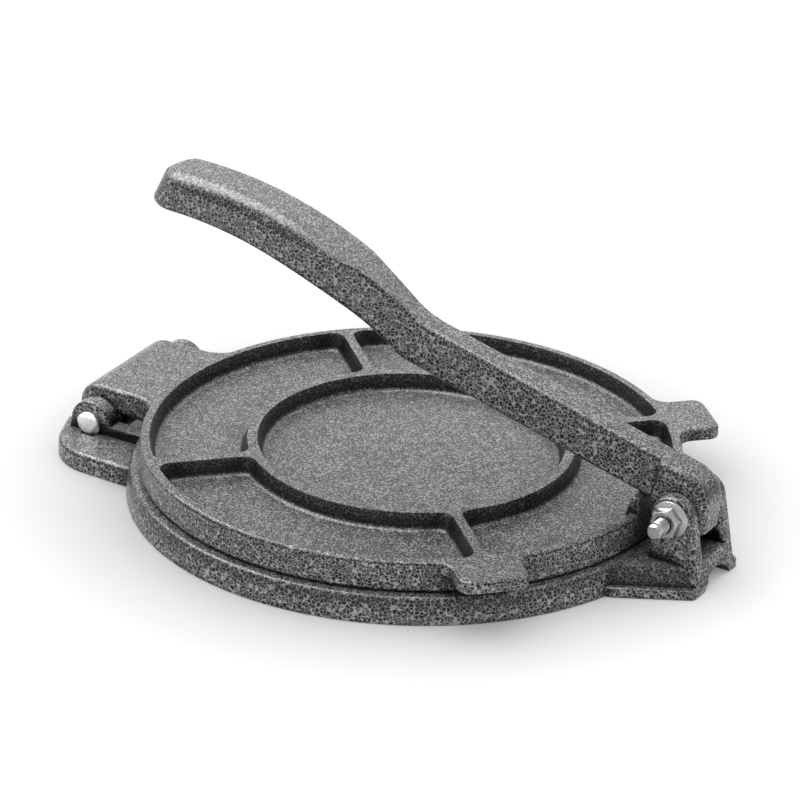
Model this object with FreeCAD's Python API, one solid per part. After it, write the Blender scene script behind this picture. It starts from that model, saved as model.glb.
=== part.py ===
import FreeCAD, Part
import math
import os

# A hand press for flattening balls of dough. It stands on the ground plane, +Z up.
# +X points towards the lever's pivot. The pieces are drawn round the middle of the round plates, and at the
# end they move along X, so that the origin is on the ground below the middle of the base.
# Sizes are in millimetres and angles in degrees.

# Round upper plate
plate_r = 100.0
plate_thick = 11.8
closing_gap = 0.3
edge_round = 1.5

# Ribs and pockets on the back of a plate
recess_deep = 6.1
rim_wide = 3.6
ring_in_r = 56.8
ring_wide = 3.7
rib_wide = 3.6
draft_angle = 20.0
pocket_corner_round = 5.0
foot_round = 2.4

# Two lifting tabs on the upper plate
tab_angle = 45.0
tab_reach = 16.0
tab_half_wide = 13.0
tab_thick = 4.5
tab_corner_round = 5.0
tab_root_round = 6.0

# Lug on the upper plate that the lever presses
lug_half_wide = 9.0
lug_inset = 0.7
lug_top_long = 3.4
lug_foot_long = 6.0
lug_round = 1.0
lever_rest_gap = 0.3

# Hinge tongue of the upper plate
tongue_half_wide = 25.0
tongue_nose = 10.8
tongue_nose_round = 8.5
tongue_thick = 10.7
tongue_side_round = 2.6
tongue_root_round = 11.0
barrel_r = 8.7

# Hinge pin
hinge_reach = 18.7
hinge_high = 10.9
pin_r = 4.75
pin_long = 72.0
pin_facet = 1.0
pin_facet_angle = 28.0
pin_facets = 3

# Base casting
pan_high = 10.3
pan_lip = 3.0
pan_foot_lip = 4.7
pan_wall_out = 0.5
pan_recess_deep = 4.5
pan_rim_wide = 6.0

# Hinge end of the base: two pads, each with an ear and a wall to the pan
ear_gap_half = 27.5
ear_thick = 6.5
ear_r = 8.6
ear_foot_half = 10.4
ear_round = 1.0
hinge_wall_high = 11.2
hinge_wall_gap = 1.2
pad_high = 7.4
pad_in_half = 26.5
pad_reach = 14.8
pad_end_angle = 19.5
pad_side_half = 51.5
pad_side_flare = 1.8
pad_corner_round = 22.0
pad_round = 2.2

# Lever end of the base: a foot block and two clevis ears
pivot_reach = 14.8
pivot_high = 27.4
clevis_half = 7.8
clevis_thick = 6.6
clevis_r = 8.2
clevis_end = 13.2
clevis_foot_half = 17.0
clevis_splay_high = 17.0
clevis_round = 1.9
web_high = 11.4
block_start = 14.0
block_start_half = 36.5
block_bend = 2.4
block_bend_half = 31.9
block_end_half = 18.2
block_far_end_half = 15.2
block_inset = 3.6
block_step = 1.2
plinth_high = 3.6
block_round = 1.2
block_corner_round = 2.4
arch_half = 9.6
arch_high = 5.8

# Lever casting
hub_r = 12.7
hub_under_r = 8.5
hub_back = 2.3
hub_lip_reach = 9.4
hub_lip_low = 7.5
hub_side_gap = 0.3
hub_round = 3.4
hub_start = 9.8
hub_foot_start = 13.2
hub_foot_angle = -150.0
shank_half_wide = 5.5
shank_angle = 15.15
shank_top_high = 15.32
shank_under_low = 2.98
neck_top_start = 95.1
neck_under_start = 106.9
neck_top_angle = 36.4
neck_under_angle = 39.4
neck_top_r = 41.8
neck_under_r = 12.3
grip_top_r = 160.8
grip_long = 204.6
grip_end_back = 7.3
grip_end_deep = 15.4
grip_half_wide = 12.0
grip_taper_start = 52.0
grip_taper_end = 6.0
grip_corner_round = 10.5
grip_crown_round = 7.0
grip_top_round = 2.4
grip_under_round = 2.3

# Pivot bolt and flange nut
bolt_r = 3.0
bolt_head_flats = 10.0
bolt_head_high = 3.0
bolt_head_angle = 14.0
bolt_tail = 13.2
bolt_tip = 0.8
nut_flats = 10.0
nut_angle = 14.0
nut_high = 6.0
nut_flange_r = 7.1
nut_flange_thick = 1.3
hex_corner_share = 0.92

# Clearances between pieces that fit together, and how far a cut runs past what it cuts
turning_fit = 0.08
driven_fit = 0.02
bolt_hole_fit = 0.2
thread_fit = 0.03
pin_end_room = 1.0
overrun = 1.0

plate_bottom = pan_high + closing_gap
plate_top = plate_bottom + plate_thick
hinge_x = -(plate_r + hinge_reach)
pivot_x = plate_r + pivot_reach
pan_r = plate_r + pan_lip
pan_foot_r = plate_r + pan_foot_lip
ear_out = ear_gap_half + ear_thick
clevis_out = clevis_half + clevis_thick
hub_half_wide = clevis_half - hub_side_gap
pad_end_x = hinge_x - pad_reach
clevis_end_x = pivot_x + clevis_end
middle_x = (pad_end_x + clevis_end_x) / 2


def side(y):
    """Place a point of a side view, given as (x, z), at this y."""
    return lambda spot: FreeCAD.Vector(spot[0], y, spot[1])


def plan(z):
    """Place a point of a plan view, given as (x, y), at this height."""
    return lambda spot: FreeCAD.Vector(spot[0], spot[1], z)


def end(x):
    """Place a point of an end view, given as (y, z), at this x."""
    return lambda spot: FreeCAD.Vector(x, spot[0], spot[1])


def spot_at(centre, radius, turn):
    """The point of a circle at this angle, in any of the three views."""
    angle = math.radians(turn)
    return (centre[0] + radius * math.cos(angle), centre[1] + radius * math.sin(angle))


def bulged(start, stop, bulge):
    """The middle point of an arc that stands out from its chord, to the chord's right."""
    run = (stop[0] - start[0], stop[1] - start[1])
    share = bulge / math.hypot(run[0], run[1])
    return ((start[0] + stop[0]) / 2 + share * run[1], (start[1] + stop[1]) / 2 - share * run[0])


def outline(place, start, runs):
    """A closed wire. A run is an end point for a straight line, or a middle and an end point for an arc."""
    edges = []
    here = start
    for run in list(runs) + [(start,)]:
        there = run[-1]
        if math.dist(here, there) > overrun * 1e-6:
            if len(run) == 1:
                edges.append(Part.LineSegment(place(here), place(there)).toShape())
            else:
                edges.append(Part.Arc(place(here), place(run[0]), place(there)).toShape())
        here = there
    return Part.Wire(edges)


def slab(wire, run):
    """A solid made by pushing a closed flat wire along a vector."""
    return Part.Face(wire).extrude(run)


def turned(wire):
    """A round solid made by turning a closed side-view wire about the Z axis."""
    return Part.Face(wire).revolve(FreeCAD.Vector(0, 0, 0), FreeCAD.Vector(0, 0, 1), 360)


def rod(centre, radius, low_y, high_y):
    """A cylinder along Y about a point of the side view."""
    start = FreeCAD.Vector(centre[0], low_y, centre[1])
    return Part.makeCylinder(radius, high_y - low_y, start, FreeCAD.Vector(0, 1, 0))


def mirrored(shape):
    """The same shape on the other side of the press."""
    return shape.mirror(FreeCAD.Vector(0, 0, 0), FreeCAD.Vector(0, 1, 0))


def joined(shapes):
    """One solid of pieces that overlap, without the seams between flush faces."""
    return shapes[0].multiFuse(shapes[1:]).removeSplitter().Solids[0]


def middle(edge):
    """The point halfway along an edge."""
    return edge.valueAt((edge.FirstParameter + edge.LastParameter) / 2)


def rounded(shape, radius, wanted):
    """Round the edges that a test picks."""
    return shape.makeFillet(radius, [edge for edge in shape.Edges if wanted(edge)]).Solids[0]


def at_height(edge, z):
    """Whether an edge lies flat at this height."""
    box = edge.BoundBox
    return abs(box.ZMin - z) < overrun * 0.01 and abs(box.ZMax - z) < overrun * 0.01


def recess(rim_in_r, deep):
    """What is missing from a ribbed back, with its mouth at z = 0: four pockets and a round panel."""
    slope = math.tan(math.radians(draft_angle))
    out = overrun * slope
    foot = deep * slope
    ring_out_r = ring_in_r + ring_wide
    groove = turned(outline(side(0), (ring_out_r - out, overrun), [
        ((ring_out_r + foot, -deep),), ((rim_in_r - foot, -deep),), ((rim_in_r + out, overrun),)]))
    half = rib_wide / 2
    low = (deep + overrun) * slope
    bar = slab(outline(end(0), (-half + out, overrun), [
        ((-half - low, -deep - overrun),), ((half + low, -deep - overrun),), ((half - out, overrun),)]),
        FreeCAD.Vector(rim_in_r + overrun, 0, 0))
    up = FreeCAD.Vector(0, 0, 1)
    bars = [bar.rotated(FreeCAD.Vector(0, 0, 0), up, turn) for turn in (45, 135, 225, 315)]
    tools = []
    for pocket in groove.cut(bars).Solids:
        pocket = rounded(pocket, pocket_corner_round, lambda edge: edge.BoundBox.ZLength > deep)
        tools.append(rounded(pocket, foot_round, lambda edge: at_height(edge, -deep)))
    panel = turned(outline(side(0), (0, -deep), [
        ((ring_in_r - foot, -deep),), ((ring_in_r + out, overrun),), ((0, overrun),)]))
    tools.append(rounded(panel, foot_round, lambda edge: at_height(edge, -deep)))
    return tools


def shank_under(x):
    """The height of the lever's straight underside."""
    return pivot_high - shank_under_low + (pivot_x - x) * math.tan(math.radians(shank_angle))


def shank_top(x):
    """The height of the lever's straight top."""
    return pivot_high + shank_top_high + (pivot_x - x) * math.tan(math.radians(shank_angle))


def top_plate():
    """The upper casting: a round plate with ribs, tabs, the pressed lug and the hinge tongue."""
    disc = Part.makeCylinder(plate_r, plate_thick, FreeCAD.Vector(0, 0, plate_bottom))
    tab = Part.makeBox(plate_r / 2 + tab_reach, 2 * tab_half_wide, tab_thick,
                       FreeCAD.Vector(plate_r / 2, -tab_half_wide, plate_top - tab_thick))
    tab = rounded(tab, tab_corner_round,
                  lambda edge: edge.BoundBox.ZLength > tab_thick / 2 and middle(edge).x > plate_r)
    up = FreeCAD.Vector(0, 0, 1)
    tabs = [tab.rotated(FreeCAD.Vector(0, 0, 0), up, turn) for turn in (-tab_angle, tab_angle)]
    tongue_low = plate_top - tongue_thick
    nose_x = hinge_x - tongue_nose
    nose_z = plate_top - tongue_nose_round
    barrel = (hinge_x, hinge_high)
    barrel_low = hinge_high - barrel_r
    drop = nose_z - barrel_low
    belly_r = (tongue_nose ** 2 + drop ** 2) / (2 * drop)
    belly = (hinge_x, barrel_low + belly_r)
    belly_turn = (180 + math.degrees(math.atan2(belly[1] - nose_z, tongue_nose)) + 270) / 2
    root_turn = math.degrees(math.asin((tongue_low - hinge_high) / barrel_r))
    root_x = -plate_r + rim_wide
    tongue = slab(outline(side(-tongue_half_wide), (root_x, plate_top), [
        ((nose_x + tongue_nose_round, plate_top),),
        (spot_at((nose_x + tongue_nose_round, nose_z), tongue_nose_round, 135), (nose_x, nose_z)),
        (spot_at(belly, belly_r, belly_turn), (hinge_x, barrel_low)),
        (spot_at(barrel, barrel_r, (root_turn - 90) / 2), spot_at(barrel, barrel_r, root_turn)),
        ((root_x, tongue_low),)]), FreeCAD.Vector(0, 2 * tongue_half_wide, 0))
    tongue = joined([tongue, tongue_root(tongue_low)])
    tongue = rounded(tongue, tongue_side_round, lambda edge: edge.BoundBox.YLength < overrun * 0.01
                     and edge.BoundBox.XMin < root_x - overrun)
    plate = joined([disc] + tabs)
    plate = rounded(plate, tab_root_round,
                    lambda edge: abs(math.hypot(middle(edge).x, middle(edge).y) - plate_r) < overrun * 0.1
                    and edge.BoundBox.ZLength > tab_thick / 2 and edge.BoundBox.XLength < overrun * 0.1
                    and middle(edge).z > plate_top - tab_thick)
    plate = rounded(plate, edge_round,
                    lambda edge: at_height(edge, plate_top) or at_height(edge, plate_bottom))
    plate = joined([plate, tongue])
    tools = recess(plate_r - rim_wide, recess_deep)
    for tool in tools:
        tool.translate(FreeCAD.Vector(0, 0, plate_top))
    plate = plate.cut(tools)
    lug_x = plate_r - lug_inset
    lug_low = plate_top - recess_deep / 2
    lug = slab(outline(side(-lug_half_wide), (lug_x, lug_low), [
        ((lug_x, shank_under(lug_x) - lever_rest_gap),),
        ((lug_x - lug_top_long, shank_under(lug_x - lug_top_long) - lever_rest_gap),),
        ((lug_x - lug_foot_long, lug_low),)]), FreeCAD.Vector(0, 2 * lug_half_wide, 0))
    lug = rounded(lug, lug_round, lambda edge: middle(edge).z > plate_top)
    plate = joined([plate, lug])
    bore_end = tongue_half_wide + overrun
    return plate.cut(rod(barrel, pin_r + turning_fit, -bore_end, bore_end))


def tongue_root(low):
    """Where the hinge tongue spreads in a hollow curve on both sides, to run into the plate's round edge."""
    far = plate_r + tongue_root_round
    centre_y = tongue_half_wide + tongue_root_round
    centre_x = -math.sqrt(far ** 2 - centre_y ** 2)
    lean = math.degrees(math.atan2(-centre_y, -centre_x))
    curve = spot_at((centre_x, -centre_y), tongue_root_round, (lean + 90) / 2)
    rim = (centre_x * plate_r / far, -centre_y * plate_r / far)
    share = 1 - rim_wide / plate_r
    inner = (rim[0] * share, rim[1] * share)
    return slab(outline(plan(low), (centre_x, -tongue_half_wide), [
        (curve, rim), (inner,), ((inner[0], -inner[1]),), ((rim[0], -rim[1]),),
        ((curve[0], -curve[1]), (centre_x, tongue_half_wide))]), FreeCAD.Vector(0, 0, tongue_thick))


def hinge_end():
    """One side of the base's hinge end: a pad on the ground, an ear round the pin and a wall to the pan."""
    corner_x = pad_end_x + (pad_side_half - pad_in_half) * math.tan(math.radians(pad_end_angle))
    pan_x = -plate_r + hinge_reach
    pad = slab(outline(plan(0), (pan_x, -pad_in_half), [
        ((pad_end_x, -pad_in_half),), ((corner_x, -pad_side_half),),
        ((pan_x, -pad_side_half - pad_side_flare),)]), FreeCAD.Vector(0, 0, pad_high))
    pad = rounded(pad, pad_corner_round, lambda edge: edge.BoundBox.ZLength > pad_high / 2
                  and abs(middle(edge).x - corner_x) < overrun)
    pad = rounded(pad, pad_round, lambda edge: at_height(edge, pad_high) and middle(edge).x < pan_x
                  and middle(edge).y < -pad_in_half)
    ear = slab(tapered_ear((hinge_x, hinge_high), ear_r, hinge_x - ear_foot_half, hinge_x + ear_foot_half,
                           -ear_out), FreeCAD.Vector(0, ear_thick, 0))
    ear = rounded(ear, ear_round, lambda edge: edge.BoundBox.YLength < ear_round and middle(edge).z > 0)
    wall = Part.makeBox(pan_x - hinge_x, ear_thick, hinge_wall_high, FreeCAD.Vector(hinge_x, -ear_out, 0))
    wall = wall.cut(Part.makeCylinder(plate_r + hinge_wall_gap, hinge_wall_high + overrun))
    return [pad, ear, wall]


def tapered_ear(centre, radius, foot_left, foot_right, y):
    """The side view of an ear: round at the top, with straight flanks down to two points on the ground."""
    runs = []
    for foot_x, way in ((foot_left, 1), (foot_right, -1)):
        reach = math.hypot(centre[0] - foot_x, centre[1])
        lean = math.degrees(math.atan2(centre[1], centre[0] - foot_x))
        open_turn = math.degrees(math.acos(radius / reach))
        runs.append(spot_at(centre, radius, lean + 180 - way * open_turn))
    return outline(side(y), (foot_left, 0), [
        (runs[0],), (spot_at(centre, radius, 90), runs[1]), ((foot_right, 0),)])


def lever_end():
    """The base's lever end: a foot block, two clevis ears and a web that runs into their rounded edges."""
    start_x = plate_r - block_start

    def block_wire(z, inset):
        bend_x = plate_r + block_bend - inset
        far_x = clevis_end_x - inset
        return outline(plan(z), (start_x, -block_start_half + inset), [
            ((bend_x, -block_bend_half + inset),), ((far_x, -block_end_half + inset),),
            ((far_x, block_far_end_half - inset),), ((bend_x, block_bend_half - inset),),
            ((start_x, block_start_half - inset),)])

    def end_corner(edge):
        return edge.BoundBox.ZLength > plinth_high / 2 and middle(edge).x > pivot_x

    plinth = slab(block_wire(0, 0), FreeCAD.Vector(0, 0, plinth_high))
    plinth = rounded(plinth, block_corner_round, end_corner)
    plinth = rounded(plinth, block_round,
                     lambda edge: at_height(edge, plinth_high) and middle(edge).x > plate_r)
    block = Part.makeLoft([block_wire(0, block_step), block_wire(pan_high, block_inset)], True, True)
    block = rounded(block, block_corner_round, end_corner)
    flank = slab(tapered_ear((pivot_x, pivot_high), clevis_r, pivot_x - clevis_r, clevis_end_x,
                             -clevis_foot_half), FreeCAD.Vector(0, 2 * clevis_foot_half, 0))
    near = clevis_ear(flank, start_x, clevis_foot_half)
    far = mirrored(clevis_ear(flank, start_x, clevis_out))
    web_half = clevis_half + clevis_round
    web = flank.common(Part.makeBox(clevis_end_x - start_x, 2 * web_half, web_high,
                                    FreeCAD.Vector(start_x, -web_half, 0)))
    return [plinth, block, near, far, web]


def clevis_ear(flank, start_x, foot_half):
    """One clevis ear on the near side: its flanks taper upwards, and its foot may splay outwards."""
    high = pivot_high + clevis_r + overrun
    front = slab(outline(end(start_x), (-clevis_half, 0), [
        ((-foot_half, 0),), ((-clevis_out, clevis_splay_high),), ((-clevis_out, high),),
        ((-clevis_half, high),)]), FreeCAD.Vector(clevis_end_x + overrun - start_x, 0, 0))
    ear = flank.common(front).removeSplitter().Solids[0]
    return rounded(ear, clevis_round, lambda edge: edge.BoundBox.YLength < clevis_thick
                   and middle(edge).z > clevis_round and not at_height(edge, clevis_splay_high))


def base_casting():
    """The lower casting: a round pan with a smooth top, the hinge end and the lever end."""
    wall = bulged((pan_foot_r, 0), (pan_r, pan_high), pan_wall_out)
    pan = turned(outline(side(0), (0, 0), [((pan_foot_r, 0),), (wall, (pan_r, pan_high)), ((0, pan_high),)]))
    pan = rounded(pan, edge_round, lambda edge: at_height(edge, pan_high))
    hinge = hinge_end()
    base = joined([pan] + hinge + [mirrored(shape) for shape in hinge] + lever_end())
    tools = [tool.mirror(FreeCAD.Vector(0, 0, 0), FreeCAD.Vector(0, 0, 1))
             for tool in recess(plate_r - pan_rim_wide, pan_recess_deep)]
    arch_r = (arch_half ** 2 + arch_high ** 2) / (2 * arch_high)
    arch = Part.makeCylinder(arch_r, clevis_end + overrun, FreeCAD.Vector(pivot_x, 0, arch_high - arch_r),
                             FreeCAD.Vector(1, 0, 0))
    pin_end = pin_long / 2 + pin_end_room
    pin_bore = rod((hinge_x, hinge_high), pin_r + driven_fit, -pin_end, pin_end)
    bolt_bore = rod((pivot_x, pivot_high), bolt_r + bolt_hole_fit, -clevis_foot_half, clevis_foot_half)
    return base.cut(tools + [arch, pin_bore, bolt_bore])


def neck_curve(start, straight, neck_r, neck_angle):
    """The lever's straight run from its hub and the bend up in its neck, along its top or its underside."""
    slope = math.radians(shank_angle)
    steep = math.radians(neck_angle)
    half = (slope + steep) / 2
    neck = (start[0] - straight, start[1] + straight * math.tan(slope))
    hollow = (neck[0] + neck_r * math.sin(slope), neck[1] + neck_r * math.cos(slope))
    neck_mid = (hollow[0] - neck_r * math.sin(half), hollow[1] - neck_r * math.cos(half))
    neck_end = (hollow[0] - neck_r * math.sin(steep), hollow[1] - neck_r * math.cos(steep))
    return neck, neck_mid, neck_end


def bowed_middle(start, climb, stop):
    """The middle of the arc that climbs away from a point towards -X and bows over to another."""
    inward = (-math.sin(math.radians(climb)), -math.cos(math.radians(climb)))
    run = (stop[0] - start[0], stop[1] - start[1])
    radius = (run[0] ** 2 + run[1] ** 2) / (2 * (run[0] * inward[0] + run[1] * inward[1]))
    centre = (start[0] + radius * inward[0], start[1] + radius * inward[1])
    half_way = ((start[0] + stop[0]) / 2 - centre[0], (start[1] + stop[1]) / 2 - centre[1])
    stretch = radius / math.hypot(half_way[0], half_way[1])
    return (centre[0] + half_way[0] * stretch, centre[1] + half_way[1] * stretch)


def lever():
    """The lever casting: a hub round the bolt, a straight shank, a bent neck and a wide bowed grip."""
    pivot = (pivot_x, pivot_high)
    top_x = pivot_x - hub_under_r
    top_start = (top_x, shank_top(top_x))
    under_start = (top_x, shank_under(top_x))
    top = neck_curve(top_start, neck_top_start, neck_top_r, neck_top_angle)
    steep = math.radians(neck_top_angle)
    bow = (top[2][0] - grip_top_r * math.sin(steep), top[2][1] - grip_top_r * math.cos(steep))
    end_x = plate_r - grip_long
    top_end = (end_x, bow[1] + math.sqrt(grip_top_r ** 2 - (end_x - bow[0]) ** 2))
    under = neck_curve(under_start, neck_under_start, neck_under_r, neck_under_angle)
    under_end = (end_x - grip_end_back, top_end[1] - grip_end_deep)
    top_mid = bowed_middle(top[2], neck_top_angle, top_end)
    under_mid = bowed_middle(under[2], neck_under_angle, under_end)
    profile = slab(outline(side(-grip_half_wide - overrun), top_start, [
        (top[0],), (top[1], top[2]), (top_mid, top_end), (under_end,), (under_mid, under[2]),
        (under[1], under[0]), (under_start,)]), FreeCAD.Vector(0, 2 * (grip_half_wide + overrun), 0))
    taper = grip_taper_start + grip_taper_end
    narrow = grip_half_wide - shank_half_wide
    taper_r = (taper ** 2 + narrow ** 2) / (4 * narrow)
    taper_turn = math.degrees(math.asin(taper / (2 * taper_r)))
    wide_end = (-grip_taper_start, grip_half_wide)
    half_way = (-grip_taper_start + taper / 2, grip_half_wide - narrow / 2)
    shank_start = (grip_taper_end, shank_half_wide)
    wide_mid = spot_at((wide_end[0], wide_end[1] - taper_r), taper_r, 90 - taper_turn / 2)
    shank_mid = spot_at((shank_start[0], shank_start[1] + taper_r), taper_r, 270 - taper_turn / 2)
    far_x = under_end[0] - overrun
    upper = [(far_x, grip_half_wide), wide_end, wide_mid, half_way, shank_mid, shank_start,
             (top_x, shank_half_wide)]
    lower = [(spot[0], -spot[1]) for spot in upper]
    blank = slab(outline(plan(0), upper[0], [
        (upper[1],), (upper[2], upper[3]), (upper[4], upper[5]), (upper[6],), (lower[6],), (lower[5],),
        (lower[4], lower[3]), (lower[2], lower[1]), (lower[0],)]), FreeCAD.Vector(0, 0, 2 * plate_r))
    bar = profile.common(blank).Solids[0]
    bar = rounded(bar, grip_corner_round, lambda edge: edge.BoundBox.YLength < overrun * 0.01
                  and edge.BoundBox.XMax < end_x + overrun * 0.1)
    bar = rounded(bar, grip_top_round, lambda edge: on_long_edge(edge, bar, 1, top_start[0]))
    bar = rounded(bar, grip_under_round, lambda edge: on_long_edge(edge, bar, -1, top_start[0]))
    cap = grip_crown(bow, end_x)
    bar = bar.cut([cap, mirrored(cap), grip_nose(bow, end_x)]).Solids[0]
    crown = (pivot_x - hub_back, shank_top(pivot_x - hub_back) - hub_r / math.cos(math.radians(shank_angle)))
    shoulder = (pivot_x - hub_start, shank_top(pivot_x - hub_start))
    foot = (pivot_x - hub_foot_start, shank_under(pivot_x - hub_foot_start))
    lip = (pivot_x + hub_lip_reach, pivot_high - hub_lip_low)
    lip_far = math.hypot(hub_lip_reach, hub_lip_low)
    under_turn = -math.degrees(math.atan2(hub_lip_low, hub_lip_reach) + math.acos(hub_under_r / lip_far))
    hub = slab(outline(side(-hub_half_wide), shoulder, [
        (spot_at(crown, hub_r, 90 - shank_angle),),
        (spot_at(crown, hub_r, (90 - shank_angle) / 2), spot_at(crown, hub_r, 0)), (lip,),
        (spot_at(pivot, hub_under_r, under_turn),),
        (spot_at(pivot, hub_under_r, (under_turn + hub_foot_angle) / 2),
         spot_at(pivot, hub_under_r, hub_foot_angle)),
        (foot,)]), FreeCAD.Vector(0, 2 * hub_half_wide, 0))
    hub = rounded(hub, hub_round, lambda edge: edge.BoundBox.YLength < hub_round
                  and middle(edge).z > pivot_high - hub_under_r / 2)
    return joined([bar, hub]).cut(rod(pivot, bolt_r + turning_fit, -hub_half_wide - overrun,
                                      hub_half_wide + overrun))


def grip_crown(bow, end_x):
    """What is missing along one top edge of the grip, which is domed more than the shank."""
    low = grip_top_r - grip_crown_round
    flat_y = grip_half_wide - grip_crown_round
    place = side_wall(bow)
    section = outline(place, (flat_y, grip_top_r), [
        (spot_at((flat_y, low), grip_crown_round, 45), (grip_half_wide, low)),
        ((grip_half_wide + overrun, low),), ((grip_half_wide + overrun, grip_top_r + overrun),),
        ((flat_y, grip_top_r + overrun),)])
    turn = neck_top_angle + math.degrees(math.asin((bow[0] - end_x + grip_end_back) / grip_top_r))
    cap = Part.Face(section).revolve(FreeCAD.Vector(bow[0], 0, bow[1]), FreeCAD.Vector(0, 1, 0), -turn)
    return cap.rotated(FreeCAD.Vector(bow[0], 0, bow[1]), FreeCAD.Vector(0, 1, 0), neck_top_angle)


def grip_nose(bow, end_x):
    """What is missing round the top of the grip's end, which is domed like its sides."""
    top = bow[1] + grip_top_r
    half = (math.pi / 2 + math.atan(grip_end_back / grip_end_deep)) / 2
    steep = 2 * half - math.pi / 2
    reach = grip_crown_round / math.tan(half)
    flat_r = grip_half_wide - reach
    wall = (grip_half_wide + reach * math.sin(steep), top - reach * math.cos(steep))
    low = wall[1] - grip_end_deep
    foot_r = wall[0] + grip_end_deep * math.tan(steep)
    button = turned(outline(side(0), (0, low), [
        ((foot_r, low),), (wall,), (spot_at((flat_r, top - grip_crown_round), grip_crown_round,
                                            45 + math.degrees(steep) / 2), (flat_r, top)), ((0, top),)]))
    button.translate(FreeCAD.Vector(end_x + grip_half_wide, 0, 0))
    wide = grip_half_wide + overrun
    corner = FreeCAD.Vector(end_x - overrun, -wide, wall[1])
    return Part.makeBox(wide, 2 * wide, top + overrun - wall[1], corner).cut(button)


def side_wall(centre):
    """Place a point, given as (y, distance), straight above a point of the side view."""
    return lambda spot: FreeCAD.Vector(centre[0], spot[0], centre[1] + spot[1])


def on_long_edge(edge, bar, way, stop_x):
    """Whether an edge runs along the lever's top or underside, where it meets a flank or the grip's end."""
    facing = []
    for face in bar.Faces:
        if any(own.isSame(edge) for own in face.Edges):
            u, v = face.Surface.parameter(middle(edge))
            facing.append(way * face.normalAt(u, v).z)
    return max(facing) > 0.6 and min(facing) < 0.5 and edge.BoundBox.XMin < stop_x - overrun


def hinge_pin():
    """A plain steel rod with sheared ends, driven through both ears of the base."""
    pin = rod((hinge_x, hinge_high), pin_r, -pin_long / 2, pin_long / 2)
    nibs = []
    for way in (-1, 1):
        for index in range(pin_facets):
            nib = Part.makeBox(4 * pin_r, 2 * pin_r, 4 * pin_r, FreeCAD.Vector(-2 * pin_r, 0, -2 * pin_r))
            nib.rotate(FreeCAD.Vector(0, 0, 0), FreeCAD.Vector(1, 0, 0), pin_facet_angle)
            nib.translate(FreeCAD.Vector(0, pin_long / 2 - pin_facet, pin_r))
            nib.rotate(FreeCAD.Vector(0, 0, 0), FreeCAD.Vector(0, 1, 0), 360 * index / pin_facets)
            nib.translate(FreeCAD.Vector(hinge_x, 0, hinge_high))
            nibs.append(nib if way > 0 else mirrored(nib))
    return pin.cut(nibs)


def hexagon(flats, high, start_y, turn):
    """A hexagonal block along Y with its corners turned off at both ends, about the pivot's axis."""
    corner_r = flats / math.sqrt(3)
    spots = [spot_at((pivot_x, pivot_high), corner_r, turn + 60 * index) for index in range(6)]
    block = slab(outline(side(start_y), spots[0], [(spot,) for spot in spots[1:]]),
                 FreeCAD.Vector(0, high, 0))
    cut_back = corner_r * (1 - hex_corner_share)
    round_bar = rod((pivot_x, pivot_high), corner_r, start_y, start_y + high)
    round_bar = round_bar.makeChamfer(cut_back, round_bar.Edges[0:1] + round_bar.Edges[2:3])
    return block.common(round_bar)


def pivot_bolt():
    """A hexagon-head bolt through the clevis and the lever's hub, with its head on the far ear."""
    tail_y = -clevis_out - bolt_tail
    shank = rod((pivot_x, pivot_high), bolt_r, tail_y, clevis_out + bolt_head_high / 2)
    shank = shank.makeChamfer(bolt_tip, [edge for edge in shank.Edges
                                         if abs(middle(edge).y - tail_y) < bolt_tip / 2])
    return joined([shank, hexagon(bolt_head_flats, bolt_head_high, clevis_out, bolt_head_angle)])


def flange_nut():
    """A hexagon nut with a round flange, tight against the near ear."""
    flange = rod((pivot_x, pivot_high), nut_flange_r, -clevis_out - nut_flange_thick, -clevis_out)
    nut = joined([flange, hexagon(nut_flats, nut_high, -clevis_out - nut_high, nut_angle)])
    return nut.cut(rod((pivot_x, pivot_high), bolt_r + thread_fit, -clevis_out - nut_high - overrun,
                       -clevis_out + overrun))


os.makedirs("parts", exist_ok=True)
for name, make in (("base_casting", base_casting), ("top_plate", top_plate), ("lever", lever),
                   ("hinge_pin", hinge_pin), ("pivot_bolt", pivot_bolt), ("flange_nut", flange_nut)):
    shape = make()
    shape.translate(FreeCAD.Vector(-middle_x, 0, 0))
    print(name, shape.isValid(), len(shape.Solids), round(shape.Volume), shape.BoundBox)
    shape.exportStep("parts/" + name + ".step")
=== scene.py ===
# %% [markdown]
# # A cast iron press for flat breads
# The press is three rough castings and three bits of steel. The castings come from the CAD model as
# they are, because their shapes are already right. What makes them look real is their finish: a grey
# hammered enamel that dries into a net of pale lines round dark cells about a millimetre wide.
# This file loads the castings, gives them that finish, makes the threaded bolt and the flange nut in
# full detail, and sets up a white table with soft light.

# %% Load the press
import math

import bmesh
import bpy
from mathutils import Matrix, Vector


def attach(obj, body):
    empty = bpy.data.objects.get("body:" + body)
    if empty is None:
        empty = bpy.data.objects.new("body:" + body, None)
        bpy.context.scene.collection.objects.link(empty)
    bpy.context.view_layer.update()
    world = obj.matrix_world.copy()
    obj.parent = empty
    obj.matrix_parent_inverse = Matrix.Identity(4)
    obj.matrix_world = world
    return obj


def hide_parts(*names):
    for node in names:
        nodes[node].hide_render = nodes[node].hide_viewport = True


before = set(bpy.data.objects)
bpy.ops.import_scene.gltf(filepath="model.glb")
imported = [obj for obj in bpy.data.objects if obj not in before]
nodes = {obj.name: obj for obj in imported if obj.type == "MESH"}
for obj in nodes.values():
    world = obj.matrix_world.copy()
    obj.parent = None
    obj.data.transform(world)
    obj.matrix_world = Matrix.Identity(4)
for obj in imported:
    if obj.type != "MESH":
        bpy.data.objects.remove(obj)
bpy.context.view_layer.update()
MM = 0.001

# %% [markdown]
# ## Camera
# The camera stands about two metres away with a long lens, as a product photographer would, so that
# the round plates stay nearly free of perspective. It could be aimed with a Track To constraint, but
# a small roll has to be kept too. So its three axes are worked out from its angles and put straight
# into its matrix.

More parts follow.
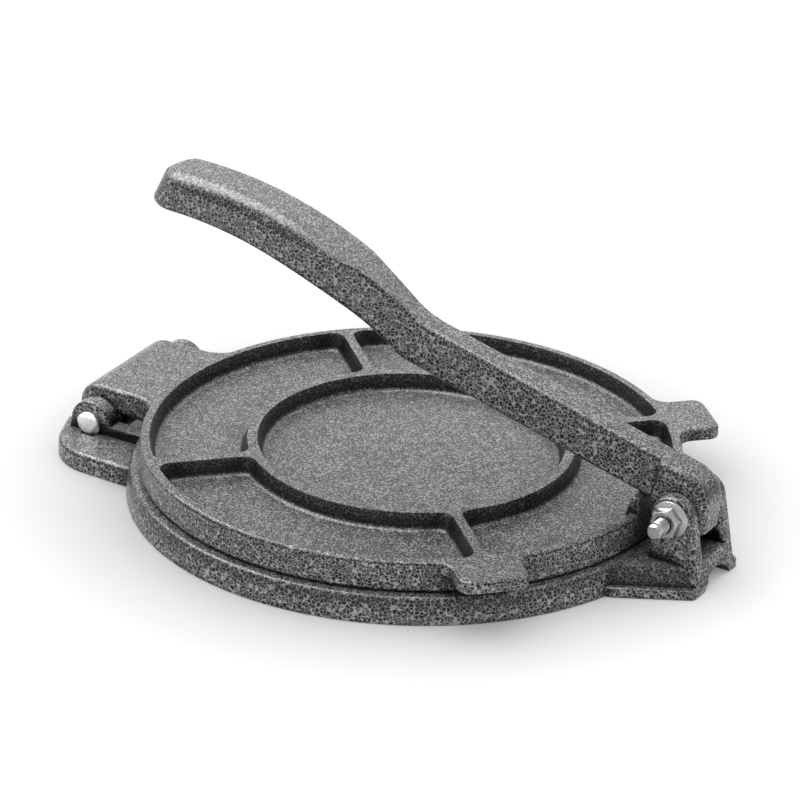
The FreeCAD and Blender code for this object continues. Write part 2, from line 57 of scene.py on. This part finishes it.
# %% Camera
azimuth, elevation, roll = math.radians(29.29), math.radians(25.41), math.radians(1.91)
distance, lens = 2133.5 * MM, 250.74
aim = Vector((-40.72, 67.86, 0)) * MM
back = Vector((math.sin(azimuth) * math.cos(elevation), -math.cos(azimuth) * math.cos(elevation),
               math.sin(elevation)))
level = (-back).cross(Vector((0, 0, 1))).normalized()
upright = level.cross(-back)
across = math.cos(roll) * level + math.sin(roll) * upright
upward = math.cos(roll) * upright - math.sin(roll) * level
camera = bpy.data.objects.new("camera", bpy.data.cameras.new("camera"))
bpy.context.scene.collection.objects.link(camera)
camera.matrix_world = Matrix.Translation(aim + back * distance) @ Matrix(
    (across, upward, back)).transposed().to_4x4()
camera.data.sensor_width = 36
camera.data.lens = lens
camera.data.clip_end = 20
bpy.context.scene.camera = camera
bpy.context.scene.view_settings.view_transform = "Standard"
print("camera at", [round(value, 3) for value in camera.matrix_world.translation])

# %% [markdown]
# ## A short way to wire nodes
# Every material below is a handful of nodes. Adding a node, setting it and joining its inputs takes
# three or four lines each time, so one helper does all three. An input may be a plain value or the
# output of another node, and inputs are named by their position where a node repeats a name.

# %% Node helpers
def put(tree, kind, inputs=None, **settings):
    """Add a node, set its options, and fill or join its inputs."""
    node = tree.nodes.new(kind)
    for name, value in settings.items():
        setattr(node, name, value)
    for key, value in (inputs or {}).items():
        socket = node.inputs[key]
        if isinstance(value, bpy.types.NodeSocket):
            tree.links.new(value, socket)
        else:
            socket.default_value = value
    return node


def maths(tree, operation, *values, clamp=False):
    """A Math node's result."""
    return put(tree, "ShaderNodeMath", dict(enumerate(values)), operation=operation,
               use_clamp=clamp).outputs[0]


def smooth_step(tree, value, low, high):
    """0 below low, 1 above high and an eased slope between them."""
    return put(tree, "ShaderNodeMapRange", {0: value, 1: low, 2: high},
               interpolation_type="SMOOTHSTEP").outputs[0]


print("helpers:", [helper.__name__ for helper in (put, maths, smooth_step)])

# %% [markdown]
# ## The cells of hammered enamel
# Hammered enamel is a paint with metal flakes and a little silicone. As it dries the silicone pulls it
# into shallow cells: the flakes crowd into the pale borders and the dark resin shows in the middle of
# each cell. It could be a picture wrapped on with UVs, but every edge would show a seam. A Voronoi
# texture in object space gives the same cells and flows over every edge. Its distance to the nearest
# seed keeps the cells round, its distance to the nearest border keeps a pale line between them, and a
# slow noise lets them grow and shrink from place to place.

# %% Cells
def remap(tree, value, low, high, first, last):
    """The value's range from low to high, stretched to run from first to last."""
    return put(tree, "ShaderNodeMapRange", {0: value, 1: low, 2: high, 3: first, 4: last}).outputs[0]


def scaled(tree, colour, share):
    """A colour or a vector times a number."""
    return put(tree, "ShaderNodeVectorMath", {0: colour, "Scale": share}, operation="SCALE").outputs[0]


def noise(tree, place, scale, detail):
    """A noise texture's value and colour."""
    return put(tree, "ShaderNodeTexNoise", {"Vector": place, "Scale": scale, "Detail": detail}).outputs


usual_cells = 730.0
cell_warp, warp_scale = 1.2 * MM, 900.0
drift_scale, drift_low, drift_high, drift = 220.0, 0.35, 0.65, 0.05
rim_soft, line_start, line_end = 0.16, 0.02, 0.1
luck_share, luck_base = 0.5, 0.75


def cell_pattern(group, place, scale, reach):
    """How far each point lies inside a dark cell, from 0 on the pale net to 1."""
    warp = noise(group, place, warp_scale, detail=1.0)["Color"]
    shift = put(group, "ShaderNodeVectorMath", {0: warp, 1: (0.5, 0.5, 0.5)},
                operation="SUBTRACT").outputs[0]
    spot = put(group, "ShaderNodeVectorMath", {0: place, 1: scaled(group, shift, cell_warp)},
               operation="ADD").outputs[0]
    cells = put(group, "ShaderNodeTexVoronoi", {"Vector": spot, "Scale": scale}, feature="F1").outputs
    border = put(group, "ShaderNodeTexVoronoi", {"Vector": spot, "Scale": scale},
                 feature="DISTANCE_TO_EDGE").outputs["Distance"]
    rim = remap(group, noise(group, place, drift_scale, detail=1.0)[0], drift_low, drift_high,
                reach - drift, reach + drift)
    outside = smooth_step(group, cells["Distance"], rim, maths(group, "ADD", rim, rim_soft))
    inside = maths(group, "MULTIPLY", maths(group, "SUBTRACT", 1.0, outside),
                   smooth_step(group, border, line_start, line_end))
    luck = put(group, "ShaderNodeSeparateColor", {0: cells["Color"]}).outputs[0]
    return maths(group, "MULTIPLY", inside,
                 maths(group, "MULTIPLY_ADD", luck, luck_share, luck_base, clamp=True))


print("a cell is about", round(1 / usual_cells / MM, 2), "mm wide")

# %% [markdown]
# ## Painted shade in the corners
# Little paint and little light reach the walls of the pockets, so they look nearly black while the level
# floors stay pale. That darkness is painted shade in the enamel's colour and gloss. Soft shade painted by
# hand would need UVs. Ambient occlusion finds the corners by itself: a short one that sees only the
# casting paints shade into its own pockets, and a longer one that sees everything paints shade where
# two castings nearly touch.

# %% Shade
def nearness(tree, reach, **settings):
    """Ambient occlusion: 1 in the open, and less where other surfaces lie within reach."""
    return put(tree, "ShaderNodeAmbientOcclusion", {"Distance": reach}, samples=8, **settings).outputs["AO"]


def blend(tree, share, first, second):
    """A number between two others."""
    return put(tree, "ShaderNodeMix", {0: share, 2: first, 3: second}, data_type="FLOAT").outputs[0]


steep_corner = (0.76, 0.99, 0.04, 1.0)
level_corner = (0.25, 0.95, 0.3, 1.0)
near_reach, near_corner = 30.0 * MM, (0.1, 0.5, 0.1, 1.0)


# Painted shade: ambient occlusion darkens the enamel in the casting's own corners and near other castings.
def corner_shade(group, reach, flat):
    """1 in the open, down to nearly 0 in the casting's own corners, sooner on steep faces."""
    hollow = nearness(group, reach, only_local=True)
    return blend(group, flat, remap(group, hollow, *steep_corner), remap(group, hollow, *level_corner))


def neighbour_shade(group):
    """1 in the open, down to a tenth where another casting is near."""
    return remap(group, nearness(group, near_reach), *near_corner)


print("a casting darkens its neighbour within", round(near_reach / MM), "mm")

# %% [markdown]
# ## The enamel as a shader group
# On flat faces that lay level in the oven the cells stay fine and pale, and on the upright faces,
# where the paint ran, they grow coarse and dark. The normal's upright part tells the two kinds of face
# apart, and it also finds the rounded edges between them, where the pale flakes grow thin. The front of
# the press is painted a little darker than its back on level faces, as painted shade, so the place counts
# too. The group puts out the colour, the roughness, the height and the gloss of the paint, with painted
# shade in the colour and the gloss, and each casting sets its own numbers.

# %% How dark the paint is
coarse_reach, fine_reach, fine_share = 0.64, 0.49, 1.55
turn_start, turn_full, turn_fade, turn_end, turn_darker = 0.12, 0.3, 0.45, 0.7, 0.5
# Painted shade: level faces are painted darker towards the front of the press.
front, front_start, front_end, front_shade_contrast = (0.6, -0.8, 0.0), -40.0 * MM, 100.0 * MM, 0.3


def drawn_cells(group, given, place, flat):
    """The cells, coarse on steep faces and fine on level ones."""
    fine_scale = maths(group, "MULTIPLY", given["Cells per metre"], fine_share)
    return blend(group, flat, cell_pattern(group, place, given["Cells per metre"], coarse_reach),
                 cell_pattern(group, place, fine_scale, fine_reach))


def painted_front_shade(group, place):
    """How much painted shade darkens level faces: 0 at the back of the press and 1 at its front."""
    forward = put(group, "ShaderNodeVectorMath", {0: place, 1: front}, operation="DOT_PRODUCT")
    return smooth_step(group, forward.outputs["Value"], front_start, front_end)


def darkness(group, given, drawn, lean, flat, ahead):
    """How much of the dark resin shows, with more of it on the edges that turn away and, as painted shade,
    on level faces towards the front.
    """
    strong = blend(group, flat, given["Cell contrast"],
                   maths(group, "MULTIPLY_ADD", ahead, front_shade_contrast, given["Level contrast"]))
    turning = maths(group, "MULTIPLY", smooth_step(group, lean, turn_start, turn_full),
                    maths(group, "SUBTRACT", 1.0, smooth_step(group, lean, turn_fade, turn_end)))
    return maths(group, "MULTIPLY", maths(group, "MULTIPLY_ADD", turning, turn_darker, drawn), strong,
                 clamp=True)


print("on level faces a cell is about", round(1 / usual_cells / fine_share / MM, 2), "mm wide")

# %% Enamel group
def grey(level):
    """A neutral colour at this level."""
    return (level, level, level, 1)


def blend_colour(tree, share, first, second):
    """A colour between two others."""
    return put(tree, "ShaderNodeMix", {0: share, 6: first, 7: second}, data_type="RGBA").outputs[2]


flat_start, flat_full = 0.6, 0.97
front_shade_pale, gloss, gloss_lost = -0.2, 0.8, -0.35
grain_scale, grain_spread = 1500.0, (0.3, 0.7, 0.72, 1.22)
rough_pale, rough_dark = 0.5, 0.35
number, colour = "NodeSocketFloat", "NodeSocketColor"


def group_with(name, inputs, outputs):
    """An empty shader group with these sockets."""
    group = bpy.data.node_groups.new(name, "ShaderNodeTree")
    for label, kind, value in inputs:
        group.interface.new_socket(label, in_out="INPUT", socket_type=kind).default_value = value
    for label, kind in outputs:
        group.interface.new_socket(label, in_out="OUTPUT", socket_type=kind)
    return group


def enamel_group():
    """The shader group for hammered enamel, used by all three castings."""
    inputs = (("Cells per metre", number, usual_cells), ("Cell contrast", number, 1.0),
              ("Level contrast", number, 0.9), ("Hollow reach", number, 15.0 * MM),
              ("Pale", colour, grey(0.43)), ("Level pale", colour, grey(0.43)),
              ("Dark", colour, grey(0.006)))
    outputs = (("Color", colour), ("Roughness", number), ("Height", number), ("Coat", number))
    group = group_with("hammered enamel", inputs, outputs)
    given = put(group, "NodeGroupInput").outputs
    where = put(group, "ShaderNodeTexCoord").outputs
    place = where["Object"]
    lean = maths(group, "ABSOLUTE", put(group, "ShaderNodeSeparateXYZ", {0: where["Normal"]}).outputs[2])
    flat = smooth_step(group, lean, flat_start, flat_full)
    ahead = painted_front_shade(group, place)
    drawn = drawn_cells(group, given, place, flat)
    dark = darkness(group, given, drawn, lean, flat, ahead)
    # Painted shade: the pale of level faces is darker towards the front.
    level_pale = scaled(group, given["Level pale"], maths(group, "MULTIPLY_ADD", ahead, front_shade_pale, 1.0))
    paint = blend_colour(group, dark, blend_colour(group, flat, given["Pale"], level_pale), given["Dark"])
    grain = remap(group, noise(group, place, grain_scale, detail=3.0)[0], *grain_spread)
    # Painted shade: ambient occlusion darkens the colour and lowers the gloss in corners and where castings
    # nearly touch.
    shade = maths(group, "MULTIPLY", neighbour_shade(group),
                  corner_shade(group, given["Hollow reach"], flat))
    put(group, "NodeGroupOutput", {
        "Color": scaled(group, paint, maths(group, "MULTIPLY", grain, shade)),
        "Roughness": remap(group, dark, 0.0, 1.0, rough_pale, rough_dark),
        "Height": maths(group, "SUBTRACT", 1.0, drawn),
        "Coat": maths(group, "MULTIPLY", shade, maths(group, "MULTIPLY_ADD", dark, gloss_lost, gloss))})
    return group


hammered = enamel_group()
print("enamel group has", len(hammered.nodes), "nodes")

# %% [markdown]
# ## One enamel for each casting
# The three castings were painted one by one, so their cells differ a little. Each gets its own
# material with its own numbers for the one group. A Bevel node rounds the drawn edges that the sand
# mould leaves soft, a Bump node turns the paint's cells into shallow dimples, and a clear coat stands
# for the gloss of the baked paint.

# %% Enamel materials
edge_soft, dimple_deep = 1.3 * MM, 0.16 * MM


def new_material(name):
    """An empty material and its node tree."""
    material = bpy.data.materials.new(name)
    material.use_nodes = True
    material.node_tree.nodes.clear()
    return material, material.node_tree


def enamel(name, cells, contrast, level, hollow):
    """A hammered enamel for one casting."""
    material, tree = new_material(name)
    paint = put(tree, "ShaderNodeGroup", {
        "Cells per metre": cells, "Cell contrast": contrast, "Level contrast": level,
        "Hollow reach": hollow}, node_tree=hammered)
    soft = put(tree, "ShaderNodeBevel", {"Radius": edge_soft}, samples=8).outputs[0]
    dimples = put(tree, "ShaderNodeBump", {"Strength": 0.8, "Distance": dimple_deep,
                                           "Height": paint.outputs["Height"], "Normal": soft}).outputs[0]
    shader = put(tree, "ShaderNodeBsdfPrincipled", {
        "Base Color": paint.outputs["Color"], "Roughness": paint.outputs["Roughness"], "Normal": dimples,
        "Specular IOR Level": 0.12, "Coat Weight": paint.outputs["Coat"], "Coat Roughness": 0.3})
    put(tree, "ShaderNodeOutputMaterial", {"Surface": shader.outputs[0]})
    return material


def dress_node(name, material):
    """Give a CAD piece one material."""
    slots = nodes[name].data.materials
    slots.clear()
    slots.append(material)


finishes = {
    "base_casting": enamel("enamel on the base", cells=usual_cells, contrast=0.98, level=0.9,
                           hollow=7.5 * MM),
    "top_plate": enamel("enamel on the plate", cells=800.0, contrast=1.0, level=0.92,
                        hollow=15.0 * MM),
    "lever": enamel("enamel on the lever", cells=usual_cells, contrast=0.98, level=0.8,
                    hollow=15.0 * MM)}
for name, material in finishes.items():
    dress_node(name, material)
print("enamelled", sorted(finishes))

# %% [markdown]
# ## Zinc plated and bare steel
# The bolt and the nut are plated with bright zinc, and the pin is bare bright steel. A plain metal would
# look like chrome, so a noise spreads its roughness and its grey, and painted shade darkens the hollows.
# Both metals could have their own nodes for that, but one shader group with named inputs serves them
# both, and each sets its own greys. A Bevel node catches light on each worn edge.

# %% Worn steel group
cloud_scale, cloud_low, cloud_high = 900.0, 0.3, 0.7
hollow_shade_reach, hollow_shade_spread = 2.0 * MM, (0.35, 0.9, 0.05, 1.0)


def steel_group():
    """The shader group for cloudy steel with painted shade in its hollows, used by the zinc and the pin."""
    inputs = (("Dull", colour, grey(0.22)), ("Bright", colour, grey(0.48)),
              ("Smoothest", number, 0.18), ("Roughest", number, 0.36))
    group = group_with("worn steel", inputs, (("Color", colour), ("Roughness", number), ("Height", number)))
    given = put(group, "NodeGroupInput").outputs
    place = put(group, "ShaderNodeTexCoord").outputs["Object"]
    cloud = noise(group, place, cloud_scale, detail=4.0)[0]
    # Painted shade: ambient occlusion darkens the steel's colour in its hollows.
    hollow_shade = remap(group, nearness(group, hollow_shade_reach), *hollow_shade_spread)
    put(group, "NodeGroupOutput", {
        "Color": scaled(group, blend_colour(group, cloud, given["Dull"], given["Bright"]), hollow_shade),
        "Roughness": remap(group, cloud, cloud_low, cloud_high, given["Smoothest"], given["Roughest"]),
        "Height": cloud})
    return group


worn_steel = steel_group()
print("steel group has", len(worn_steel.nodes), "nodes")

# %% Steel materials
wear_soft, dent_deep = 0.12 * MM, 0.02 * MM


def steel(name, dull, bright, smoothest, roughest):
    """A worn metal between two grey levels."""
    material, tree = new_material(name)
    worn = put(tree, "ShaderNodeGroup", {
        "Dull": grey(dull), "Bright": grey(bright), "Smoothest": smoothest, "Roughest": roughest},
        node_tree=worn_steel).outputs
    soft = put(tree, "ShaderNodeBevel", {"Radius": wear_soft}, samples=6).outputs[0]
    bumps = put(tree, "ShaderNodeBump", {"Strength": 0.2, "Distance": dent_deep,
                                         "Height": worn["Height"], "Normal": soft}).outputs[0]
    shader = put(tree, "ShaderNodeBsdfPrincipled", {
        "Base Color": worn["Color"], "Roughness": worn["Roughness"], "Normal": bumps, "Metallic": 1.0})
    put(tree, "ShaderNodeOutputMaterial", {"Surface": shader.outputs[0]})
    return material


zinc = steel("bright zinc", dull=0.22, bright=0.48, smoothest=0.18, roughest=0.36)
dress_node("hinge_pin", steel("bare steel", dull=0.68, bright=0.95, smoothest=0.3, roughest=0.5))
print("steel is ready:", zinc.name)

# %% [markdown]
# ## The flange nut
# The nut and the bolt's head are hexagons whose corners a cone cuts back, and the nut has a round flange
# with a sloping skirt. A boolean of a cone and a prism would leave long thin faces. Here each shape is
# a stack of rings, and a ring's radius and height may change with the angle, so the curved line where
# the cone meets a flat comes out by itself.

# %% Lathe with hexagons
axis_x, axis_z = 117.55, 27.4
flats, hex_turn, cone_r = 10.0, math.radians(14.0), 4.75
cone_rise, crease, weld = math.tan(math.radians(30)), math.radians(28), 0.001 * MM


def hex_r(angle):
    """The radius of the hexagon at this angle."""
    return flats / 2 / math.cos((angle - hex_turn) % math.radians(60) - math.radians(30))


def cone_back(angle):
    """How far behind the end the cone that cuts the corners back meets the side."""
    return (hex_r(angle) - cone_r) * cone_rise


def turned(name, rings, count=120):
    """A closed mesh from rings of (radius, y) in millimetres, either of which may depend on the angle."""
    mesh = bmesh.new()
    rows = []
    for radius, y in rings:
        row = []
        for index in range(count):
            angle = hex_turn + 2 * math.pi * index / count
            far = radius(angle) if callable(radius) else radius
            deep = y(angle) if callable(y) else y
            row.append(mesh.verts.new(Vector((axis_x + far * math.cos(angle), deep,
                                              axis_z + far * math.sin(angle))) * MM))
        rows.append(row)
    for row, after in zip(rows, rows[1:] + rows[:1]):
        for index in range(count):
            ahead = (index + 1) % count
            mesh.faces.new((row[index], row[ahead], after[ahead], after[index]))
    bmesh.ops.remove_doubles(mesh, verts=mesh.verts[:], dist=weld)
    bmesh.ops.recalc_face_normals(mesh, faces=mesh.faces[:])
    data = bpy.data.meshes.new(name)
    mesh.to_mesh(data)
    mesh.free()
    return dress(bpy.data.objects.new(name, data))


def dress(piece):
    """Link a finished steel piece and give it smooth faces with crisp edges."""
    bpy.context.scene.collection.objects.link(piece)
    piece.data.shade_smooth()
    piece.data.set_sharp_from_angle(angle=crease)
    piece.data.materials.clear()
    piece.data.materials.append(zinc)
    return piece


print("hexagons are", flats, "mm across flats,", round(2 * hex_r(hex_turn), 2), "mm across corners")

# %% The nut
ear_y, nut_y, skirt_slope = -14.4, -20.4, 0.5
flange_r, flange_y = 7.0, ear_y - 1.0
rim_r, rim_y, rim_end, foot_r = 7.1, ear_y - 0.8, ear_y - 0.15, 6.95
mouth_r, bore_r, mouth_deep = 3.4, 3.03, 0.4


def nut_cone(angle):
    """Where the cone that cuts the corners back meets the nut's side."""
    return nut_y + cone_back(angle)


def skirt(angle):
    """Where the flange's sloping skirt meets the nut's side."""
    return flange_y - (flange_r - hex_r(angle)) * skirt_slope


nut = turned("zinc_flange_nut", [
    (mouth_r, nut_y), (cone_r, nut_y), (hex_r, nut_cone), (hex_r, skirt), (flange_r, flange_y),
    (rim_r, rim_y), (rim_r, rim_end), (foot_r, ear_y), (mouth_r, ear_y),
    (bore_r, ear_y - mouth_deep), (bore_r, nut_y + mouth_deep)])
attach(nut, "base")
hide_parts("flange_nut")
print("nut has", len(nut.data.polygons), "faces")

# %% [markdown]
# ## The bolt
# A rolled M6 thread climbs one millimetre per turn. It could be a Screw modifier on a small profile, but
# its ends would be open. Here Geometry Nodes bend a flat grid round the axis, and each point's radius
# comes from how far it lies along the helix. The first and last rows shrink to the axis and close the
# ends. The thread fades out before the smooth tip and again where the plain shank starts. The hexagon
# head is a stack of rings like the nut.

# %% Thread as Geometry Nodes
rows, columns = 421, 61
run_in, run_out = 1.2 * MM, 0.8 * MM
tip_slope, tip_soft = 0.85, 0.1 * MM
flank_steep, flank_low, close_fast = 2.6, -0.15, 1000.0


def rod_radius(tree, given, far, turn):
    """The rod's radius, from the distance along it and the angle round it."""
    phase = maths(tree, "ADD", maths(tree, "DIVIDE", far, given["Pitch"]),
                  maths(tree, "DIVIDE", turn, 2 * math.pi))
    wave = maths(tree, "MULTIPLY_ADD", maths(tree, "PINGPONG", phase, 0.5), flank_steep, flank_low,
                 clamp=True)
    starts = smooth_step(tree, far, given["Thread start"], maths(tree, "ADD", given["Thread start"], run_in))
    stops = smooth_step(tree, far, given["Thread end"], maths(tree, "ADD", given["Thread end"], run_out))
    threaded = maths(tree, "MULTIPLY", starts, maths(tree, "SUBTRACT", 1.0, stops))
    depth = maths(tree, "SUBTRACT", given["Crest radius"], given["Root radius"])
    cut = maths(tree, "MULTIPLY", maths(tree, "MULTIPLY", threaded, depth),
                maths(tree, "SUBTRACT", 1.0, wave))
    tip = maths(tree, "MULTIPLY_ADD", far, tip_slope, given["Tip radius"])
    return maths(tree, "SMOOTH_MIN", maths(tree, "SUBTRACT", given["Crest radius"], cut), tip, tip_soft)


def thread_tree():
    """A node tree that rolls a grid into a threaded rod along Y, from its tip at the origin."""
    tree = bpy.data.node_groups.new("threaded rod", "GeometryNodeTree")
    sizes = (("Length", 42.0 * MM), ("Pitch", 1.0 * MM), ("Crest radius", 2.98 * MM),
             ("Root radius", 2.5 * MM), ("Tip radius", 2.3 * MM), ("Thread start", 2.2 * MM),
             ("Thread end", 14.0 * MM))
    for name, value in sizes:
        tree.interface.new_socket(name, in_out="INPUT", socket_type="NodeSocketFloat").default_value = value
    tree.interface.new_socket("Metal", in_out="INPUT", socket_type="NodeSocketMaterial")
    tree.interface.new_socket("Mesh", in_out="OUTPUT", socket_type="NodeSocketGeometry")
    given = put(tree, "NodeGroupInput").outputs
    grid = put(tree, "GeometryNodeMeshGrid", {0: 1.0, 1: 1.0, 2: columns, 3: rows}).outputs[0]
    spot = put(tree, "ShaderNodeSeparateXYZ", {0: put(tree, "GeometryNodeInputPosition").outputs[0]}).outputs
    turn = maths(tree, "MULTIPLY_ADD", spot[0], 2 * math.pi, math.pi)
    along = maths(tree, "ADD", spot[1], 0.5)
    share = maths(tree, "MULTIPLY_ADD", along, (rows - 1) / (rows - 3), -1 / (rows - 3), clamp=True)
    far = maths(tree, "MULTIPLY", share, given["Length"])
    from_end = maths(tree, "SUBTRACT", 0.5, maths(tree, "ABSOLUTE", spot[1]))
    ends = maths(tree, "MULTIPLY", from_end, close_fast, clamp=True)
    radius = maths(tree, "MULTIPLY", rod_radius(tree, given, far, turn), ends)
    place = put(tree, "ShaderNodeCombineXYZ", {
        0: maths(tree, "MULTIPLY", radius, maths(tree, "COSINE", turn)), 1: far,
        2: maths(tree, "MULTIPLY", radius, maths(tree, "SINE", turn))}).outputs[0]
    rolled = put(tree, "GeometryNodeSetPosition", {"Geometry": grid, "Position": place}).outputs[0]
    closed = put(tree, "GeometryNodeMergeByDistance", {"Geometry": rolled, "Distance": weld}).outputs[0]
    real = put(tree, "GeometryNodeRealizeInstances", {"Geometry": closed}).outputs[0]
    metal = put(tree, "GeometryNodeSetMaterial", {"Geometry": real, "Material": given["Metal"]}).outputs[0]
    put(tree, "NodeGroupOutput", {0: metal})
    return tree


rod_tree = thread_tree()
print("thread tree has", len(rod_tree.nodes), "nodes")

# %% The bolt
head_y, head_end, tip_y, rod_long = 14.4, 17.4, -27.6, 42.2
maker = bpy.data.objects.new("bolt maker", bpy.data.meshes.new("bolt maker"))
bpy.context.scene.collection.objects.link(maker)
rolling = maker.modifiers.new("thread", "NODES")
rolling.node_group = rod_tree
sockets = {item.name: item.identifier for item in rod_tree.interface.items_tree if item.in_out == "INPUT"}
rolling[sockets["Metal"]] = zinc
rolling[sockets["Length"]] = rod_long * MM
rolled = maker.evaluated_get(bpy.context.evaluated_depsgraph_get())
rod_mesh = bpy.data.meshes.new_from_object(rolled)
bpy.data.objects.remove(maker)


def head_cone(angle):
    """Where the cone that cuts the corners back meets the head's side."""
    return head_end - cone_back(angle)


head = turned("bolt head", [
    (0.0, head_y), (hex_r, head_y), (hex_r, head_cone), (cone_r, head_end), (0.0, head_end)])
joined = bmesh.new()
joined.from_mesh(rod_mesh)
bmesh.ops.translate(joined, verts=joined.verts[:], vec=Vector((axis_x, tip_y, axis_z)) * MM)
bmesh.ops.recalc_face_normals(joined, faces=joined.faces[:])
joined.from_mesh(head.data)
joined.to_mesh(rod_mesh)
joined.free()
bpy.data.objects.remove(head)
bolt = dress(bpy.data.objects.new("zinc_bolt", rod_mesh))
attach(bolt, "base")
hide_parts("pivot_bolt")
print("bolt has", len(bolt.data.polygons), "faces")

# %% [markdown]
# ## Table and light
# The press stands on white paper under soft lamps. The paper is a real white surface so that it takes
# the press's shadow. A mask brightens it for the camera away from the press, where a photographer
# would let the sheet burn out. The world is white to the camera and to reflections, and a plain pale
# grey to everything else, so a colour renders about as it is written.

# %% World
def looked_at(tree):
    """1 for what the camera sees straight, in a reflection or through glass, else 0."""
    ray = put(tree, "ShaderNodeLightPath").outputs
    return maths(tree, "MAXIMUM", ray["Is Camera Ray"],
                 maths(tree, "MAXIMUM", ray["Is Glossy Ray"], ray["Is Transmission Ray"]))


fill_level, white_level = 0.75, 1.0
world = bpy.data.worlds.new("studio")
bpy.context.scene.world = world
world.use_nodes = True
tree = world.node_tree
tree.nodes.clear()
fill = put(tree, "ShaderNodeBackground", {0: grey(1.0), 1: fill_level})
white = put(tree, "ShaderNodeBackground", {0: grey(1.0), 1: white_level})
sky = put(tree, "ShaderNodeMixShader", {0: looked_at(tree), 1: fill.outputs[0], 2: white.outputs[0]})
put(tree, "ShaderNodeOutputWorld", {0: sky.outputs[0]})
print("world fills with", fill_level)

# %% Table
half, table_z, paper_grey = 3.0, -0.2 * MM, 0.8
burn_start, burn_end, burn_low, burn_high = 100.0 * MM, 215.0 * MM, 0.04, 0.62
floor_mesh = bpy.data.meshes.new("table")
floor_mesh.from_pydata([(-half, -half, table_z), (half, -half, table_z), (half, half, table_z),
                        (-half, half, table_z)], [], [(0, 1, 2, 3)])
floor = bpy.data.objects.new("table", floor_mesh)
bpy.context.scene.collection.objects.link(floor)
paper, tree = new_material("white paper")
place = put(tree, "ShaderNodeTexCoord").outputs["Object"]
away = put(tree, "ShaderNodeVectorMath", {0: place}, operation="LENGTH").outputs["Value"]
burn = remap(tree, away, burn_start, burn_end, burn_low, burn_high)
matt = put(tree, "ShaderNodeBsdfDiffuse", {0: grey(paper_grey)})
glow = put(tree, "ShaderNodeEmission", {0: grey(1.0), 1: maths(tree, "MULTIPLY", looked_at(tree), burn)})
lit = put(tree, "ShaderNodeAddShader", {0: matt.outputs[0], 1: glow.outputs[0]})
put(tree, "ShaderNodeOutputMaterial", {"Surface": lit.outputs[0]})
floor_mesh.materials.append(paper)
print("table at", round(table_z / MM, 1), "mm")

# %% [markdown]
# ## Lamps
# A large soft box overhead gives the faint shadow under the rim. A second box hangs to the left and
# draws the bright band along the grip. It could be a spot lamp, but its gleam would be a small hard dot.
# The box is taken out of diffuse light, so it only shows in the paint's clear coat and on the steel.

# %% Lamps
def lamp(name, place, wide, long, power):
    """A soft box that faces the middle of the press."""
    light = bpy.data.lights.new(name, "AREA")
    light.shape = "RECTANGLE"
    light.size = wide
    light.size_y = long
    light.energy = power
    body = bpy.data.objects.new(name, light)
    bpy.context.scene.collection.objects.link(body)
    body.location = place
    body.rotation_mode = "QUATERNION"
    body.rotation_quaternion = (-Vector(place)).to_track_quat("-Z", "Y")
    return body


lamp("overhead box", place=(-0.25, 0.2, 1.2), wide=2.2, long=2.2, power=6.0)
gleam = lamp("gleam box", place=(-0.55, -0.15, 1.05), wide=0.9, long=1.3, power=34.0)
gleam.visible_diffuse = False
print("lamps are up")
